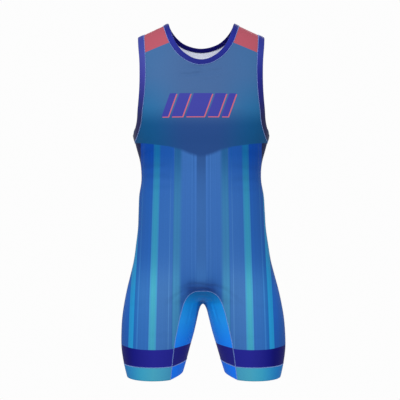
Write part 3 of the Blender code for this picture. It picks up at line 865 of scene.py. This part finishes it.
grid = gusset_grid()
# The band follows the hem, which rises towards the inner thigh
grid_level = np.repeat(grid[:, :1, 2], grid.shape[1], axis=1)
into_leg = np.clip((BAND_TURN[0] - grid_level) / BAND_TURN[1], 0, 1)
grid_level = grid[..., 2] * (1 - into_leg) + grid_level * into_leg
gusset = add_cloth("jersey_gusset", mirrored([grid]), [hemmed(grid)] * 2, [grid_level] * 2,
                   lambda p: np.stack([p[:, 1], p[:, 2], 0 * p[:, 2]], -1), [azure, undyed])
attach(gusset, "root")
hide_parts("gusset_panel")


# ---------------------------------------------------------------- bindings
# Elastic knit tape in indigo, folded over the cut edge of the neck and of each armhole
# and coverstitched along its open side. The fold is rolled and the stitching pinches it.

TAPE = 1.0 * MM              # one leaf
TAPE_BELLY = 0.35 * MM       # how full the tape is between the fold and the stitching
TAPE_SHARES = np.array([0, 0.12, 0.3, 0.5, 0.68, 0.8, 0.86, 0.92, 0.97, 1.0])
TAPE_STITCH = 0.86           # where the stitching lies, as a share of the width
STITCH_DIP = (0.28 * MM, 0.04)       # how deep it pinches the tape, and over what share
EDGE_DIP = 0.5 * MM          # how far the open edge lies down
INNER_LEAF = 6               # lines of the inner leaf, which is narrower
FOLD_STEPS = 10
PUCKER = 0.10 * MM
# Waves of the puckers: length in millimetres, share of the height, and start
PUCKER_WAVES = ((7.4, 1.0, 0.0), (5.3, 0.6, 1.7), (31.0, 1.0, 0.6))
# Face colours of each tape down from the shoulder, by height in millimetres. The
# armholes' darkening towards the underarm is painted shade, and the right armhole's
# lighter tones are painted light and the left's darker tones painted shade
TAPE_TOP = 17
TAPE_END = -250
NECK_FACE = ((0.03, "#171f7c"), (0.08, "#1a2180"), (0.16, "#21298e"), (0.37, "#182079"))
RIGHT_FACE_LIT = ((0.14, "#353f96"), (0.3, "#3f469a"), (0.5, "#393b93"), (0.69, "#2a2e7e"),
              (0.87, "#212556"), (1.0, "#22234f"))
LEFT_FACE_SHADED = ((0.14, "#252d8a"), (0.3, "#2e3a95"), (0.5, "#1e2582"), (0.69, "#1b1f70"),
             (0.87, "#1f214f"), (1.0, "#22234f"))
# The tape's back, painted dark as shade where it shows inside the openings
TAPE_BACK_SHADE = "#040058"
BACK_EDGE = (-0.2, -1.4)     # millimetres off the cloth where it starts and is full


def half_sine(share):
    """Half sine from the fold to the stitching, and 0 from there on."""
    return np.sin(np.pi * np.clip(share / TAPE_STITCH, 0, 1))


def tape_profile():
    """Outline of the folded tape: line of the strip, beyond the edge, off the cloth.

    The outer leaf swells by a half sine and dips at the stitching, the fold is a half
    ellipse, and the inner leaf mirrors the outer one as far as it reaches.
    """
    top = GAP + TAPE
    bottom = -(WALL + GAP + TAPE)
    share = TAPE_SHARES
    deep, wide = STITCH_DIP
    swell = TAPE_BELLY * half_sine(share)
    swell -= deep * np.exp(-((share - TAPE_STITCH) / wide) ** 2)
    swell[-1] -= EDGE_DIP
    lines = np.arange(len(share))
    turn = np.linspace(np.pi / 2, -np.pi / 2, FOLD_STEPS + 1)[1:-1]
    outer = np.stack([lines[::-1], 0 * share, (top + swell)[::-1]], -1)
    fold = np.stack([0 * turn, top * np.cos(turn),
                     (top + bottom) / 2 + (top - bottom) / 2 * np.sin(turn)], -1)
    inner = np.stack([lines, 0 * share, bottom - swell], -1)[:INNER_LEAF]
    last = len(share) - 1
    under = [(INNER_LEAF - 1, 0, -WALL - GAP), (2, 0, -WALL - GAP), (0, GAP, -WALL - GAP),
             (0, GAP, GAP), (last // 2, 0, GAP), (last, 0, GAP)]
    return np.vstack([outer, fold, inner, under])


def folded_tape(name, ring, material):
    """Tape carried round the opening: its profile at every point of the cut edge."""
    normal = outward(ring)
    beyond = ring[:, 0] - ring[:, 1]
    beyond = unit(beyond - np.sum(beyond * normal[:, 0], -1, keepdims=True) * normal[:, 0])
    ring = creased(ring)
    along = lengths(np.vstack([ring[:, 0], ring[:1, 0]]))
    along, whole = along[:-1], along[-1]
    pucker = PUCKER * sum(
        high * np.sin(2 * np.pi * round(whole / (pitch * MM)) * along / whole + start)
        for pitch, high, start in PUCKER_WAVES)
    profile = tape_profile()
    line = profile[:, 0].astype(int)
    # Only the face of the outer leaf is loose enough to pucker
    loose = half_sine(TAPE_SHARES[line]) * (profile[:, 2] > GAP * 1.1)
    up = profile[None, :, 2] + pucker[:, None] * loose[None]
    points = (ring[:, line] + profile[None, :, 1, None] * beyond[:, None]
              + up[..., None] * normal[:, line])
    stations, around = points.shape[:2]
    number = np.arange(stations * around).reshape(stations, around)
    ahead = np.roll(number, -1, axis=0)
    faces = np.stack([number, ahead, np.roll(ahead, -1, axis=1), np.roll(number, -1, axis=1)], -1)
    faces = faces.reshape(-1, 4)
    points = points.reshape(-1, 3)
    corner = points[faces]
    volume = np.sum(corner[:, 0] * (np.cross(corner[:, 1], corner[:, 2])
                                    + np.cross(corner[:, 2], corner[:, 3])))
    if volume < 0:
        faces = faces[:, ::-1]
    knit_place = np.stack([np.repeat(along, around), np.tile(lengths(points[:around]), stations),
                           np.tile(profile[:, 2], stations)], -1) / MM
    return add_piece(name, points, faces.tolist(), [material], {"knit_place": knit_place})


neck_strips = [edge_strip(neck_edge(face), NECK_TAPE, -face, [0], TAPE_SHARES)
               for face in (-1, 1)]
arm_strips = [edge_strip(armhole_edge(face), ARM_TAPE, face, [0, -1], TAPE_SHARES)
              for face in (-1, 1)]
# Strips joined all round each opening, the front's and then the back's
front, back = [np.concatenate([strip, strip[-2::-1] * [-1, 1, 1]]) for strip in neck_strips]
rings = {"neck": np.concatenate([front, back[-2:0:-1]])}
front, back = arm_strips
for side, name in ((-1, "right"), (1, "left")):
    rings["armhole_" + name] = np.concatenate([front, back[-2:0:-1]]) * [side, 1, 1]

# Dyed elastic tape: satin face, and a matt back painted dark as the shade inside the
# openings; the arm tapes' faces carry painted light and shade
bindings = {}
for place, part, name, stops in (
        ("neck", "neck_binding", "neck", NECK_FACE),
        ("armhole_right", "armhole_binding_right", "right arm, painted light", RIGHT_FACE_LIT),
        ("armhole_left", "armhole_binding_left", "left arm, painted shade", LEFT_FACE_SHADED)):
    tape, tree, shader, on_tape = jersey("indigo elastic knit tape, " + name, rough=0.5,
                                         sheen=0.12)
    body = add_node(tree, "TexCoord", output="Object")
    up = add_node(tree, "SeparateXYZ", {0: body}, 2)
    down = add_node(tree, "MapRange", {0: up, 1: TAPE_TOP * MM, 2: TAPE_END * MM})
    face = add_node(tree, "ValToRGB", {0: down}, stops=stops)
    off_cloth = add_node(tree, "SeparateXYZ", {0: on_tape}, 2)
    starts, full = BACK_EDGE
    share = add_node(tree, "MapRange", {0: off_cloth, 1: starts, 2: full})
    colour = add_node(tree, "Mix", {0: share, 6: face, 7: TAPE_BACK_SHADE}, **TINT)
    dye(tree, shader, on_tape, colour, mottle=0.05)
    bindings[part] = folded_tape("tape_" + place, rings[place], tape)
    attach(bindings[part], "root")
    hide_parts(part)


# ---------------------------------------------------------------- sewing threads
# Textured polyester thread: a zigzag coverstitch in pale blue over the open side of each
# binding, the gusset's flat seams and the leg hems, and one in the colour of the print
# beside it down the side seams and over the shoulder seams.

STITCH = 1.15 * MM           # pitch of the zigzag
STITCH_WIDTH = 2.3 * MM
THREAD = 0.30 * MM           # radius
THREAD_SIDES = 5
STITCH_RISE = 0.35 * MM      # height of a stitch's middle over the cloth
# Points of one stitch: shares of its half length, and of its rise
ROD = np.array([(-1.0, -0.25), (-0.8, 0.55), (0, 1), (0.8, 0.55), (1.0, -0.25)])
ON_TAPE = 0.75 * MM          # how far off the cloth the stitching lies
ON_SEAM = 0.1 * MM


def stitch_line(name, lines, material):
    """Zigzag of short bent rods along lines on the cloth.

    lines are rows of (points, off the cloth, closed or not). Each rod spans the line at
    a slant, alternately to one side and the other, and arches over the seam.
    """
    share, height = ROD.T[:, None, :, None]
    turn = np.arange(THREAD_SIDES)[:, None] * 2 * np.pi / THREAD_SIDES
    rods = []
    for line, off, closed in lines:
        normal = outward(line)
        line = creased(line) + off * normal
        if closed:
            line, normal = [np.vstack([row, row[:1]]) for row in (line, normal)]
        length = lengths(line)
        count = int(length[-1] / STITCH)
        at = (np.arange(count) + 0.5) * length[-1] / count
        ahead, behind = [read_off(at + step, length, line) for step in (STITCH / 2, -STITCH / 2)]
        along = unit(ahead - behind)
        up = unit(read_off(at, length, normal))
        slant = np.where(np.arange(count) % 2, 1, -1)[:, None]
        run = np.cross(up, along) * STITCH_WIDTH / 2 + slant * along * STITCH / 2
        spine = (read_off(at, length, line)[:, None] + share * run[:, None]
                 + height * STITCH_RISE * up[:, None])
        aside = np.cross(up, unit(run))
        rods.append(spine[:, :, None] + THREAD * (np.cos(turn) * aside[:, None, None]
                                                  + np.sin(turn) * up[:, None, None]))
    points = np.concatenate(rods)
    ring = np.arange(len(ROD) * THREAD_SIDES).reshape(-1, THREAD_SIDES)
    around = np.roll(ring, -1, axis=1)
    walls = np.stack([ring[:-1], ring[1:], around[1:], around[:-1]], -1).reshape(-1, 4)
    caps = np.stack([ring[0], ring[-1, ::-1]])
    first = np.arange(len(points))[:, None, None] * ring.size
    faces = [face for shape in (walls, caps)
             for face in (first + shape).reshape(-1, shape.shape[1]).tolist()]
    piece = add_piece(name, points.reshape(-1, 3), faces, [material], sharp=None)
    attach(piece, "root")
    return piece


def hem_line():
    """Round one leg at the top of the turned hem: over both panels and the gusset."""
    level = HEM_LEVELS[0]
    row = LEG_STEPS + 1
    legs = []
    for face in (-1, 1):
        inner = gusset_seam(face)[row]
        outer = np.array([section("half_width", level), 0, level])
        legs.append(rows_between(outer[None], inner[None], ACROSS_STEPS)[0])
    strip = gusset_grid()[row]
    return np.concatenate([legs[0], strip[1:-1], legs[1][:0:-1]])


def on_both_sides(line, closed=False):
    """A line of stitches on a seam, on the right and then on the left."""
    return [(line * [side, 1, 1], ON_SEAM, closed) for side in (-1, 1)]


# Soft gloss, and a tone that is uneven along the yarn
threads = {}
for name, tones in (("pale blue", ("#7d9dde", "#92afea")), ("navy", ("#1c3270", "#263f80")),
                    ("coral", ("#9c4a58", "#b05866"))):
    threads[name], tree, shader = new_material("textured polyester thread, " + name, {
        "Roughness": 0.55, "Specular IOR Level": 0.2, "Sheen Weight": 0.1})
    body = add_node(tree, "TexCoord", output="Object")
    noise = add_node(tree, "TexNoise", {"Vector": body, "Scale": 900})
    tone = add_node(tree, "Mix", {0: noise, 6: tones[0], 7: tones[1]}, **TINT)
    tree.links.new(tone, shader.inputs["Base Color"])

runs = [(place, "pale blue", [(ring[:, -1], ON_TAPE, True)]) for place, ring in rings.items()]
halves = [gusset_seam(face) for face in (-1, 1)]
shoulder_line = rows_between(arm_strips[0][:1, -1], neck_strips[0][:1, -1], ACROSS_STEPS)[0]
runs += [
    ("gusset", "pale blue", [(np.concatenate([half[::-1], half[1:] * [-1, 1, 1]]), ON_SEAM, False)
                             for half in halves]),
    ("sides", "navy", on_both_sides(side_seam(arm_strips[0][-1, -1, 2]))),
    ("shoulders", "coral", on_both_sides(shoulder_line)),
    ("hems", "pale blue", on_both_sides(hem_line(), closed=True)),
]
stitches = {place: stitch_line("stitching_" + place, lines, threads[colour])
            for place, colour, lines in runs}


# ---------------------------------------------------------------- studio
# A pale floor well below the hanging garment, white surroundings and large soft lights.

FLOOR_LEVEL = -3.0
FLOOR_RADIUS = 3.0
FLOOR_CORNERS = 96
# The camera's place, and its lens and sensor width in millimetres
EYE = (-0.0029, -2.4, -0.4128)
LENS = 88.16
SENSOR = 36
# Strength of the surroundings as a light, and as they are seen
FILL = 0.50
BACKDROP = 0.98
AIM = (0, 0, -0.35)
# Place, size and power of each soft light, all aimed at the chest
LIGHTS = (
    ("key", (-1.1, -2.2, 1.4), 1.3, 39),
    ("front", (0.5, -2.9, 0.1), 1.6, 31),
    ("back", (0.3, 2.6, 1.0), 1.8, 34),
)

turn = np.linspace(0, 2 * np.pi, FLOOR_CORNERS + 1)[:-1]
rim = np.stack([FLOOR_RADIUS * np.cos(turn), FLOOR_RADIUS * np.sin(turn),
                np.full(FLOOR_CORNERS, FLOOR_LEVEL)], -1)
mesh = bpy.data.meshes.new("floor")
mesh.from_pydata(rim.tolist(), [], [list(range(FLOOR_CORNERS))])
floor = bpy.data.objects.new("floor", mesh)
bpy.context.collection.objects.link(floor)
# Painted studio floor: matt white with a faint mottle
paint, tree, shader = new_material("matt white studio paint", {"Roughness": 0.9})
body = add_node(tree, "TexCoord", output="Object")
noise = add_node(tree, "TexNoise", {"Vector": body, "Scale": 3})
tone = add_node(tree, "Mix", {0: noise, 6: "#f2f2f2", 7: "#f6f6f6"}, **TINT)
tree.links.new(tone, shader.inputs["Base Color"])
mesh.materials.append(paint)

world = bpy.data.worlds.new("white surroundings")
world.use_nodes = True
tree = world.node_tree
tree.nodes.clear()
seen = add_node(tree, "LightPath", output="Is Camera Ray")
lit, backdrop = [add_node(tree, "Background", {"Color": "#ffffff", "Strength": strength})
                 for strength in (FILL, BACKDROP)]
both = add_node(tree, "MixShader", {0: seen, 1: lit, 2: backdrop})
tree.links.new(both, tree.nodes.new("ShaderNodeOutputWorld").inputs["Surface"])
bpy.context.scene.world = world

for name, spot, size, power in LIGHTS:
    lamp = bpy.data.lights.new(name, "AREA")
    lamp.size = size
    lamp.energy = power
    light = bpy.data.objects.new(name, lamp)
    light.location = spot
    aim = np.subtract(AIM, spot)
    light.rotation_euler = (np.arctan2(np.hypot(aim[0], aim[1]), -aim[2]), 0,
                            np.arctan2(-aim[0], aim[1]))
    bpy.context.collection.objects.link(light)

bpy.context.scene.view_settings.view_transform = "Standard"
camera_data = bpy.data.cameras.new("camera")
camera_data.lens = LENS
camera_data.sensor_width = SENSOR
camera = bpy.data.objects.new("camera", camera_data)
camera.location = EYE
camera.rotation_euler = (np.pi / 2, 0, 0)
bpy.context.collection.objects.link(camera)
bpy.context.scene.camera = camera
